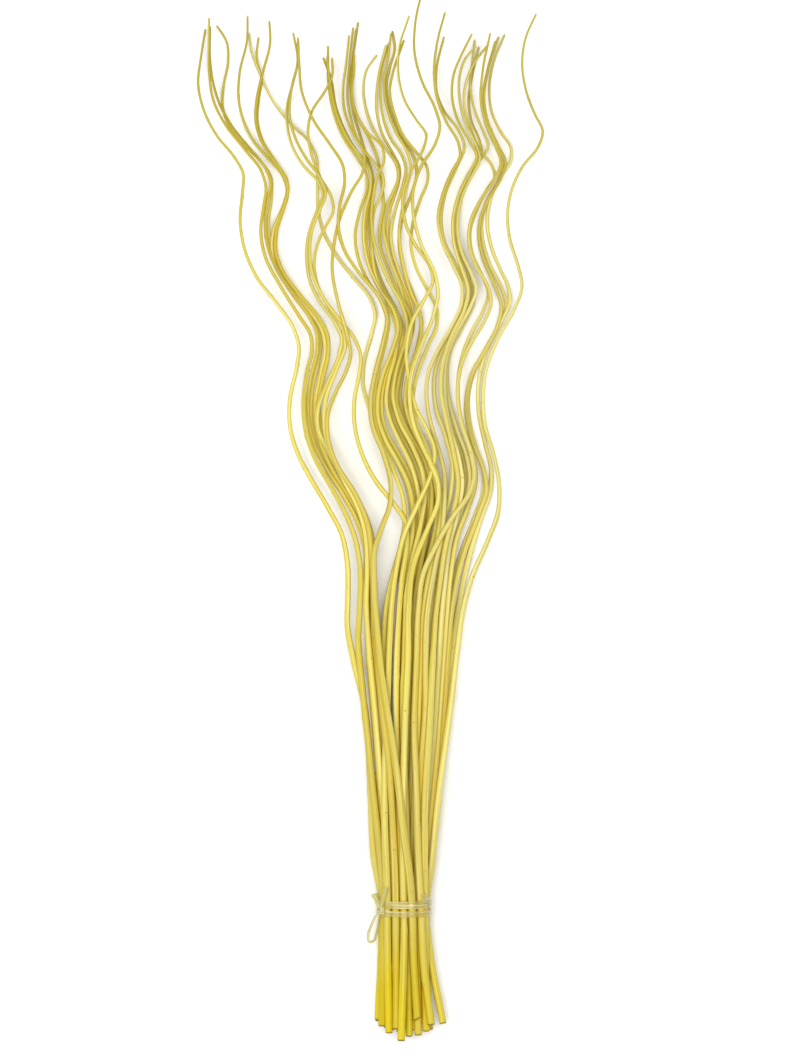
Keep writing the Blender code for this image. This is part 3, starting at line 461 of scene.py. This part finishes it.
@dataclass
class StemLine:
    """A stem's middle line and thickness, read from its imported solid.

    Attributes:
        centres: The middle of each ring of the solid, cut end first.
        radii: Each ring's radius.
        lengths: How far along the stem each ring stands.
    """

    centres: np.ndarray
    radii: np.ndarray
    lengths: np.ndarray = field(init=False)

    def __post_init__(self) -> None:
        """Measures the line."""
        steps = np.linalg.norm(np.diff(self.centres, axis=0), axis=1)
        self.lengths = np.concatenate(([0.0], np.cumsum(steps)))

    @classmethod
    def of_solid(cls, solid: bpy.types.Object) -> "StemLine":
        """Walks up a six-sided solid from its cut end, ring by ring.

        Args:
            solid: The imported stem.

        Returns:
            Its line.
        """
        shape = bmesh.new()
        shape.from_mesh(solid.data)
        bmesh.ops.remove_doubles(shape, verts=shape.verts, dist=0.00002)
        ring = set(sorted(shape.verts, key=lambda corner: corner.co.y)[:6])
        seen = set(ring)
        centres, radii = [], []
        while ring:
            middle = sum((corner.co for corner in ring), Vector()) / len(ring)
            centres.append(tuple(middle))
            radii.append(sum((corner.co - middle).length for corner in ring) / len(ring))
            ring = {edge.other_vert(corner) for corner in ring for edge in corner.link_edges} - seen
            seen |= ring
        shape.free()
        return cls(np.array(centres), np.array(radii))

    @property
    def length(self) -> float:
        """The stem's whole length."""
        return float(self.lengths[-1])

    def point(self, along: float) -> Vector:
        """The middle line's place at this distance, on a smooth curve through the rings.

        Args:
            along: The distance from the cut end.

        Returns:
            The place.
        """
        slopes = np.gradient(self.centres, self.lengths, axis=0)
        index = int(np.clip(np.searchsorted(self.lengths, along) - 1, 0, len(self.lengths) - 2))
        span = self.lengths[index + 1] - self.lengths[index]
        step = (along - self.lengths[index]) / span
        place = (
            self.centres[index] * (1 + 2 * step) * (1 - step) ** 2
            + self.centres[index + 1] * (3 - 2 * step) * step**2
            + slopes[index] * span * step * (1 - step) ** 2
            - slopes[index + 1] * span * step**2 * (1 - step)
        )
        return Vector(place)

    def radius(self, along: float) -> float:
        """The stem's radius at this distance from its cut end."""
        return float(np.interp(along, self.lengths, self.radii))

    def at_height(self, y: float) -> tuple[float, float, float]:
        """Where the stem crosses a plane across the bunch.

        Args:
            y: The plane's place.

        Returns:
            The place across, the height and the radius there.
        """
        rows = self.centres[:, 1]
        return (
            float(np.interp(y, rows, self.centres[:, 0])),
            float(np.interp(y, rows, self.centres[:, 2])),
            float(np.interp(y, rows, self.radii)),
        )


@dataclass(frozen=True)
class LeafScar:
    """A swelling on a stem, with the scar of a leaf on one side of it."""

    along: float
    turn: float
    size: float

    def weight(self, along: float, turn: float) -> float:
        """How strongly the scar shows at a place on the stem, from nought to one."""
        near = math.exp(-(((along - self.along) / (1.5 * MM * self.size)) ** 2))
        facing = max(0.0, math.cos(turn - self.turn))
        return near * facing**5

    def swelling(self, along: float) -> float:
        """How much the stem swells all round at this distance."""
        return 0.055 * self.size * math.exp(-(((along - self.along) / (5.5 * MM)) ** 2))


@dataclass
class WillowStem:
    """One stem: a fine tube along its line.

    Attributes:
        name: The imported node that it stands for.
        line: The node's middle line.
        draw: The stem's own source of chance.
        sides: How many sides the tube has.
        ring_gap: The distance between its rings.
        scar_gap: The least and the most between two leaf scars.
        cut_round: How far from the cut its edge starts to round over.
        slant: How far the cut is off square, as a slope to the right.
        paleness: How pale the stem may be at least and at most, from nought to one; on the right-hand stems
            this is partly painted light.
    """

    name: str
    line: StemLine
    draw: np.random.Generator
    sides: int = 12
    ring_gap: float = 5.0 * MM
    scar_gap: tuple[float, float] = (60 * MM, 130 * MM)
    cut_round: float = 2.2 * MM
    slant: float = 0.0
    paleness: tuple[float, float] = (0.0, 0.5)
    scars: list[LeafScar] = field(init=False)

    def __post_init__(self) -> None:
        """Places the leaf scars, each on the far side from the last."""
        self.scars = []
        along = self.draw.uniform(20, 70) * MM
        turn = self.draw.uniform(0, 2 * math.pi)
        while along < self.line.length - 15 * MM:
            self.scars.append(LeafScar(along, turn, self.draw.uniform(0.6, 1.15)))
            along += self.draw.uniform(*self.scar_gap)
            turn += math.radians(137.5) + self.draw.uniform(-0.4, 0.4)

    def ring_places(self) -> list[float]:
        """Where the tube's rings stand: closer at the cut, at each scar and at the tip."""
        last = self.line.length
        places = [0.0, 0.35 * MM, 1.1 * MM, 2.5 * MM]
        places += list(np.arange(5 * MM, last - 4 * MM, self.ring_gap))
        for scar in self.scars:
            places += [scar.along + step * MM for step in (-2.4, -1.2, 0.0, 1.2, 2.4)]
        places = [place for place in places if place < last - 2 * MM]
        places += [last - step * MM for step in (1.6, 0.9, 0.4, 0.1)]
        kept: list[float] = []
        for place in sorted(places):
            if not kept or place - kept[-1] > 0.25 * MM:
                kept.append(place)
        return kept

    def girth(self, along: float) -> float:
        """The tube's radius at this distance, with its rounded ends and slow unevenness."""
        last = self.line.length
        radius = self.line.radius(along)
        slow = 0.018 * math.sin(along * 61 + self.draw_phase)
        wave = 1 + slow + 0.014 * math.sin(along * 143 + 2 * self.draw_phase)
        swell = sum(scar.swelling(along) for scar in self.scars)
        ends = 1.0
        if along < self.cut_round:
            ends = 0.76 + 0.24 * math.sqrt(1 - (1 - along / self.cut_round) ** 2)
        if along > last - 2 * MM:
            ends = math.sqrt(max(0.04, 1 - ((along - last + 2 * MM) / (2.05 * MM)) ** 2))
        return radius * (wave + swell) * ends

    @property
    def draw_phase(self) -> float:
        """A phase of the stem's own, from its first scar."""
        return self.scars[0].turn

    def build(self, finishes: Sequence[bpy.types.Material]) -> bpy.types.Object:
        """Draws the tube out ring by ring.

        Args:
            finishes: The bark and the cut wood.

        Returns:
            The finished stem.
        """
        shape = bmesh.new()
        straight = shape.verts.layers.float_vector.new("straight")
        scar_layer = shape.verts.layers.float.new("scar")
        bmesh.ops.create_circle(shape, cap_ends=True, segments=self.sides, radius=1.0)
        cut = shape.faces[:]
        start = self.draw.uniform(0, 400)
        rim = shape.edges[:]
        corners = shape.verts[:]
        before = Matrix.Identity(4)
        facing = Vector((1, 0, 0))
        tilt = Vector((self.slant, self.draw.uniform(-0.12, 0.12)))
        for along in self.ring_places():
            frame_here, facing = self.ring_frame(along, facing)
            if along > 0:
                corners, rim = drawn_on(shape, rim)
            bmesh.ops.transform(shape, matrix=frame_here @ before.inverted(), verts=corners)
            self.shape_ring(corners, frame_here, along, tilt, (straight, scar_layer))
            before = frame_here
        bmesh.ops.edgeloop_fill(shape, edges=rim)
        for face in shape.faces:
            face.smooth = True
        for face in cut:
            face.material_index = StemFace.CUT_WOOD.value
            face.smooth = False
        bmesh.ops.recalc_face_normals(shape, faces=shape.faces)
        stem = linked(shape, "willow_" + self.name, finishes)
        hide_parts("stem_" + self.name)
        self.dye(stem.data, start)
        return stem

    def ring_frame(self, along: float, facing: Vector) -> tuple[Matrix, Vector]:
        """The place and turn of a ring, turned as little as can be from the last one.

        Args:
            along: The ring's distance from the cut end.
            facing: The last ring's sideways direction.

        Returns:
            The ring's matrix and its own sideways direction.
        """
        here = self.line.point(along)
        ahead = self.line.point(min(along + MM, self.line.length))
        behind = self.line.point(max(along - MM, 0.0))
        way = (ahead - behind).normalized()
        side = (facing - way * facing.dot(way)).normalized()
        turned = Matrix((side, way.cross(side), way)).transposed().to_4x4()
        return Matrix.Translation(here) @ turned, side

    def shape_ring(self, corners: Iterable[bmesh.types.BMVert], frame_here: Matrix, along: float,
                   tilt: Vector, layers: tuple[object, object]) -> None:
        """Gives a ring its girth, scar bumps and the cut's slope, and notes its straightened place.

        Args:
            corners: The ring's corners, still on a circle of radius one.
            frame_here: The ring's matrix.
            along: Its distance from the cut end.
            tilt: The cut's slope, which fades a few millimetres up the stem.
            layers: Where the straightened place and the scar are kept.
        """
        inward = frame_here.inverted()
        girth = self.girth(along)
        fade = max(0.0, 1 - along / (6 * MM))
        for corner in corners:
            local = inward @ corner.co
            turn = math.atan2(local.y, local.x)
            scar = max((one.weight(along, turn) for one in self.scars), default=0.0)
            oval = 1 + 0.02 * math.cos(2 * (turn - self.draw_phase))
            reach = girth * oval + 0.42 * MM * scar
            x, y = reach * math.cos(turn), reach * math.sin(turn)
            slope = -(tilt.x * x + tilt.y * y) * fade
            corner.co = frame_here @ Vector((x, y, slope))
            corner[layers[0]] = (x, y, along)
            corner[layers[1]] = scar

    def dye(self, mesh: bpy.types.Mesh, start: float) -> None:
        """Gives the stem a dye of its own, with a paleness that is partly painted light on the right-hand
        stems.

        Args:
            mesh: The stem's mesh.
            start: Where its patterns start, from 0 to 400.
        """
        dye = mesh.attributes.new("dye", "FLOAT_COLOR", "POINT")
        pale = self.paleness[0] + (self.paleness[1] - self.paleness[0]) * self.draw.random()
        tint = (self.draw.random() ** 1.8, pale, start / 400, 1.0)
        dye.data.foreach_set("color", np.tile(tint, len(mesh.vertices)).astype(np.float32))


@dataclass
class FilmStrip:
    """A free length of film: a flat strip drawn out along a route.

    Attributes:
        name: The piece's name.
        route: The places that its middle passes.
        widths: Its width at the start, halfway and at the end.
        lean: How far its width leans from level at those places, in degrees.
        steps: How many steps it is drawn out in.
    """

    name: str
    route: Sequence[Vector]
    widths: tuple[float, float, float]
    lean: tuple[float, float, float]
    steps: int = 36

    def build(self, film: bpy.types.Material) -> bpy.types.Object:
        """Draws the strip out.

        Args:
            film: The ribbon's finish.

        Returns:
            The strip.
        """
        places = smooth_path(self.route, self.steps)
        shape = bmesh.new()
        layer = shape.verts.layers.float_vector.new("strip")
        corners = [shape.verts.new((share, 0.0, 0.0)) for share in (-0.5, -0.3, -0.1, 0.1, 0.3, 0.5)]
        rim = [shape.edges.new(pair) for pair in zip(corners, corners[1:])]
        before = Matrix.Identity(4)
        travelled = 0.0
        for index, place in enumerate(places):
            share = index / (len(places) - 1)
            if index:
                travelled += (place - places[index - 1]).length
                corners, rim = drawn_on(shape, rim)
            here = self.place_across(places, index, share)
            bmesh.ops.transform(shape, matrix=here @ before.inverted(), verts=corners)
            inward = here.inverted()
            width = float(np.interp(share, (0, 0.5, 1), self.widths))
            for corner in corners:
                side = (inward @ corner.co).x
                corner.co = here @ Vector((side, 0.0, 0.25 * MM * math.sin(side * 9 + share * 7)))
                corner[layer] = (travelled, side * width, 0.0)
            before = here
        for face in shape.faces:
            face.smooth = True
        piece = linked(shape, self.name, (film,))
        thicken(piece, FILM_THICKNESS)
        return piece

    def place_across(self, places: Sequence[Vector], index: int, share: float) -> Matrix:
        """Where the strip's width lies at one step.

        Args:
            places: The places of its middle.
            index: Which of them.
            share: How far along the strip that is.

        Returns:
            A matrix that takes a strip of width one, along X, there.
        """
        ahead = places[min(index + 1, len(places) - 1)]
        behind = places[max(index - 1, 0)]
        way = (ahead - behind).normalized()
        level = way.cross(Vector((0, 0, 1))).normalized()
        lean = math.radians(float(np.interp(share, (0, 0.5, 1), self.lean)))
        width = float(np.interp(share, (0, 0.5, 1), self.widths))
        side = Matrix.Rotation(lean, 3, way) @ level
        up = side.cross(way)
        turned = Matrix((side * width, way, up)).transposed().to_4x4()
        return Matrix.Translation(places[index]) @ turned


def thicken(piece: bpy.types.Object, thickness: float) -> None:
    """Gives a strip of film its thickness, the same to both sides."""
    wall = piece.modifiers.new("Thickness", "SOLIDIFY")
    wall.thickness = thickness
    wall.offset = 0.0


@dataclass
class RibbonTie:
    """The clear ribbon: two creased turns round the stems, a fold, a knot, a bow and two tails.

    Attributes:
        lines: All the stems' middle lines.
        turns: The lower and the upper side of each turn, along the bunch.
        clear: How far the film stands off the stems.
        reach: How far to each side along the bunch the stems are looked at, to clear them.
        lowest: The least height of the film's middle above the surface.
        knot_place: The knot's middle.
        knot_size: Half its length, width and thickness.
        knot_turn: How far it is turned onto the bunch's shoulder, in radians.
    """

    lines: Sequence[StemLine]
    turns: tuple[tuple[float, float], ...] = ((-0.4049, -0.3987), (-0.3972, -0.3896))
    clear: float = 0.95 * MM
    reach: float = 4 * MM
    lowest: float = 0.9 * MM
    knot_place: tuple[float, float, float] = (0.0112, -0.3950, 0.0533)
    knot_size: tuple[float, float, float] = (0.0044, 0.0050, 0.0026)
    knot_turn: float = -1.05

    def build(self, film: bpy.types.Material, gathered: bpy.types.Material) -> list[bpy.types.Object]:
        """Builds the whole tie.

        Args:
            film: The finish of the turns.
            gathered: The finish where the film is gathered: the knot, the bow and the tails.

        Returns:
            Its pieces.
        """
        made = [
            self.add_turn(f"ribbon_turn_{number + 1}", low, high, (0.0, 1.0), 0.0, 0.3 + number, film)
            for number, (low, high) in enumerate(self.turns)
        ]
        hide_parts("tie_ribbon")
        made.append(self.add_turn("ribbon_fold", -0.3985, -0.3885, (0.50, 0.66), 5.0 * MM, 2.1, film))
        made.append(self.add_knot(gathered))
        made += [strip.build(gathered) for strip in self.free_strips()]
        return made

    def outline(self, y: float) -> list[Vector]:
        """The tight loop round the stems at one place along the bunch.

        Args:
            y: The place.

        Returns:
            The loop's corners, anticlockwise from its right side, seen from the cut ends.
        """
        angles = np.linspace(0, 2 * math.pi, 25)[:-1]
        points = []
        for line in self.lines:
            for near in (y - self.reach, y, y + self.reach):
                across, height, radius = line.at_height(near)
                ring = radius + self.clear
                points += [(across + ring * math.cos(a), height + ring * math.sin(a)) for a in angles]
        points = sorted(points)

        def half(row: Sequence[tuple[float, float]]) -> list[tuple[float, float]]:
            """One side of the hull."""
            kept: list[tuple[float, float]] = []
            for point in row:
                while len(kept) > 1 and turn_of(kept[-2], kept[-1], point) <= 0:
                    kept.pop()
                kept.append(point)
            return kept[:-1]

        loop = half(points) + half(points[::-1])
        return [Vector((across, y, max(height, self.lowest))) for across, height in loop]

    def add_turn(self, name: str, low: float, high: float, part: tuple[float, float], rise: float,
                 phase: float, film: bpy.types.Material) -> bpy.types.Object:
        """One turn of film, or a part of a turn.

        Args:
            name: The piece's name.
            low: Its side nearest the cut ends.
            high: Its other side.
            part: Where on the loop it starts and ends.
            rise: How far its end lies further up the bunch than its start.
            phase: Where its creases start.
            film: The ribbon's finish.

        Returns:
            The piece.
        """
        loop = self.outline((low + high) / 2)
        lengths = np.cumsum([0.0] + [(b - a).length for a, b in zip(loop, loop[1:] + loop[:1])])
        whole = part[1] - part[0] >= 1.0
        count = 170 if whole else 60
        shape = bmesh.new()
        layer = shape.verts.layers.float_vector.new("strip")
        centre = sum(loop, Vector()) / len(loop)
        shares = np.linspace(part[0], part[1], count + 1)
        used = shares[:-1] if whole else shares
        corners = [shape.verts.new(along_loop(loop, lengths, share)) for share in used]
        closing = corners[:1] if whole else []
        rim = [shape.edges.new(pair) for pair in zip(corners, corners[1:] + closing)]
        rows = [corners]
        across = 9
        for _ in range(across - 1):
            corners, rim = drawn_on(shape, rim)
            bmesh.ops.translate(shape, verts=corners, vec=(0.0, (high - low) / (across - 1), 0.0))
            rows.append(corners)
        middle = (low + high) / 2
        for row, corners in enumerate(rows):
            side = row / (across - 1)
            for index, corner in enumerate(corners):
                share = float(shares[index])
                outward = Vector((corner.co.x - centre.x, 0.0, corner.co.z - centre.z)).normalized()
                crease = crease_height(share * lengths[-1], side, phase)
                corner.co += outward * (crease + (0.0 if whole else 0.55 * MM))
                wander = 0.35 * math.sin(share * 21 + phase * 5) + 0.3 * math.sin(share * 55 + side * 4)
                slide = rise * (share - part[0]) / (part[1] - part[0])
                corner.co.y += wander * MM + slide
                corner[layer] = (share * lengths[-1], corner.co.y - middle, phase)
        for face in shape.faces:
            face.smooth = True
        bmesh.ops.recalc_face_normals(shape, faces=shape.faces)
        piece = linked(shape, name, (film,))
        thicken(piece, FILM_THICKNESS)
        return piece

    def add_knot(self, film: bpy.types.Material) -> bpy.types.Object:
        """The knot: a small ball of folded film on the bunch's shoulder.

        Args:
            film: The ribbon's finish.

        Returns:
            The knot.
        """
        shape = bmesh.new()
        layer = shape.verts.layers.float_vector.new("strip")
        bmesh.ops.create_uvsphere(shape, u_segments=40, v_segments=24, radius=1.0)
        for corner in shape.verts:
            turn = math.atan2(corner.co.y, corner.co.x)
            fine = 0.06 * math.sin(corner.co.y * 9 + corner.co.x * 4)
            fold = 1 + 0.10 * math.sin(turn * 5 + corner.co.z * 3) + fine
            corner[layer] = (turn * 2 * MM, corner.co.z * 2 * MM, 0.0)
            corner.co *= fold
        size = Matrix.Diagonal((*self.knot_size, 1.0))
        turned = Matrix.Rotation(self.knot_turn, 4, "Y")
        placed = Matrix.Translation(self.knot_place) @ turned @ size
        bmesh.ops.transform(shape, matrix=placed, verts=shape.verts)
        for face in shape.faces:
            face.smooth = True
        return linked(shape, "ribbon_knot", (film,))

    def free_strips(self) -> list[FilmStrip]:
        """The bow and the two tails, each from the knot's middle."""
        knot = Vector(self.knot_place)
        bow = [knot] + [on_picture(*place) for place in (
            (376, 914, 49.5), (372.5, 921, 46.5), (369.6, 928, 43.5), (368, 935, 41), (369.6, 941, 39.2),
            (373.4, 940, 39.5), (376.2, 933, 41), (377.8, 926, 44), (379, 917, 49)
        )] + [knot + Vector((0, -1, 1)) * MM]
        left = [knot] + [on_picture(*place) for place in (
            (378.5, 903.5, 50.5), (376, 898, 48.5), (373.5, 892.5, 47))]
        right = [knot] + [on_picture(*place) for place in (
            (382.2, 900, 60), (384, 893, 63), (386, 885, 64.5))]
        return [
            FilmStrip("ribbon_bow", bow, (2.6 * MM, 4.0 * MM, 2.6 * MM), (40, 50, 40), 72),
            FilmStrip("ribbon_tail_left", left, (3.0 * MM, 5.5 * MM, 8.5 * MM), (20, 25, 30)),
            FilmStrip("ribbon_tail_right", right, (3.0 * MM, 4.0 * MM, 4.6 * MM), (10, 15, 20)),
        ]


def turn_of(first: Sequence[float], second: Sequence[float], third: Sequence[float]) -> float:
    """Above nought where the way through three points turns left."""
    ahead = (second[0] - first[0]) * (third[1] - first[1])
    return ahead - (second[1] - first[1]) * (third[0] - first[0])


def along_loop(loop: Sequence[Vector], lengths: np.ndarray, share: float) -> Vector:
    """A place on a closed loop.

    Args:
        loop: The loop's corners.
        lengths: How far along the loop each corner is, and the whole length at the end.
        share: How far round the place is, where one is a whole round.

    Returns:
        The place.
    """
    rows = np.array([tuple(point) for point in (*loop, loop[0])])
    along = (share % 1.0) * lengths[-1]
    return Vector([float(np.interp(along, lengths, rows[:, axis])) for axis in range(3)])


def crease_height(along: float, side: float, phase: float) -> float:
    """How far the film stands out at a place, in creases that run round the bunch.

    Args:
        along: The distance round the bunch.
        side: The place across the film, from nought to one.
        phase: Where the creases start.

    Returns:
        The height, in metres.
    """
    drift = 0.25 * math.sin(along * 95 + phase * 3) + 0.15 * math.sin(along * 230 + phase)
    folds = math.sin(2 * math.pi * (side * 2.6 + drift + phase))
    fine = math.sin(2 * math.pi * (side * 5.3 - drift * 2 + phase * 2))
    return (0.26 * folds + 0.10 * fine + 0.05) * MM


@dataclass
class Studio:
    """The pale surface, the soft lights and the camera straight above.

    Attributes:
        middle: What the camera looks at: the middle of the picture, on the bunch.
        view_height: How much of the surface the picture takes in, top to bottom.
        distance: How far above it the camera hangs.
    """

    middle: tuple[float, float] = (0.0265, -0.0160)
    view_height: float = 1.059
    distance: float = 5.0

    def build(self) -> None:
        """Makes everything that isn't the bunch."""
        self.add_surface()
        self.add_light("broad_light", (-0.15, -0.1, 3.0), (1.5, 1.9), 100.0)
        self.add_sky()
        self.add_camera()

    def add_surface(self) -> None:
        """The surface that the bunch lies on."""
        shape = bmesh.new()
        bmesh.ops.create_grid(shape, x_segments=1, y_segments=1, size=6.0)
        mesh = bpy.data.meshes.new("surface")
        shape.to_mesh(mesh)
        shape.free()
        surface = bpy.data.objects.new("surface", mesh)
        bpy.context.scene.collection.objects.link(surface)
        nodes = NodeTree("pale_surface")
        nodes.shader.inputs["Base Color"].default_value = (0.93, 0.93, 0.925, 1.0)
        nodes.shader.inputs["Roughness"].default_value = 0.9
        nodes.shader.inputs["Specular IOR Level"].default_value = 0.1
        surface.data.materials.append(nodes.material)

    def add_light(self, name: str, place: tuple[float, float, float], size: tuple[float, float],
                  power: float) -> None:
        """A soft light that faces the bunch.

        Args:
            name: The light's name.
            place: Where it hangs.
            size: Its width and height.
            power: Its power in watts.
        """
        light = bpy.data.lights.new(name, "AREA")
        light.shape = "RECTANGLE"
        light.size, light.size_y = size
        light.energy = power
        lamp = bpy.data.objects.new(name, light)
        lamp.location = place
        lamp.rotation_euler = (-Vector(place)).to_track_quat("-Z", "Y").to_euler()
        bpy.context.scene.collection.objects.link(lamp)

    def add_sky(self) -> None:
        """Even light from all round."""
        world = bpy.data.worlds.new("even_light")
        world.use_nodes = True
        world.node_tree.nodes["Background"].inputs["Color"].default_value = (1.0, 1.0, 1.0, 1.0)
        world.node_tree.nodes["Background"].inputs["Strength"].default_value = 0.42
        bpy.context.scene.world = world
        bpy.context.scene.view_settings.view_transform = "Standard"

    def add_camera(self) -> None:
        """A long lens, looking straight down."""
        camera = bpy.data.cameras.new("camera")
        camera.sensor_width = 36.0
        camera.lens = 36.0 * (self.distance - 0.03) / self.view_height
        camera.clip_end = 50.0
        eye = bpy.data.objects.new("camera", camera)
        eye.location = (*self.middle, self.distance)
        eye.rotation_euler = (0.0, 0.0, 0.0)
        bpy.context.scene.collection.objects.link(eye)
        bpy.context.scene.camera = eye


def stem_names() -> list[str]:
    """The stems' names, without the prefix of their nodes."""
    return sorted(name[len("stem_"):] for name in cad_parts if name.startswith("stem_"))


def main() -> None:
    """Builds the bunch and the studio."""
    logging.basicConfig(level=logging.INFO, format="%(message)s")
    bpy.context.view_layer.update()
    finishes = (DyedBark().make(), CutWood().make())
    lines = {name: StemLine.of_solid(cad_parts["stem_" + name]) for name in stem_names()}
    for index, (name, line) in enumerate(lines.items()):
        # The right-hand stems are painted paler, as painted light where they are overlit; the other stems
        # vary at random.
        fade_and_painted_light = (0.35, 1.0) if name.startswith("right") else (0.0, 0.5)
        slant = -0.45 if name == "middle_02" else 0.0
        stem = WillowStem(name, line, np.random.default_rng(index + 5), slant=slant, paleness=fade_and_painted_light)
        made = stem.build(finishes)
        LOG.info("%s: %d rings read, %.0f mm long, %d faces",
                 made.name, len(line.radii), line.length / MM, len(made.data.polygons))
    films = (ClearFilm().make(), ClearFilm(cover=0.72).make())
    for piece in RibbonTie(list(lines.values())).build(*films):
        LOG.info("%s: %d faces", piece.name, len(piece.data.polygons))
    Studio().build()


if __name__ == "__main__":
    main()
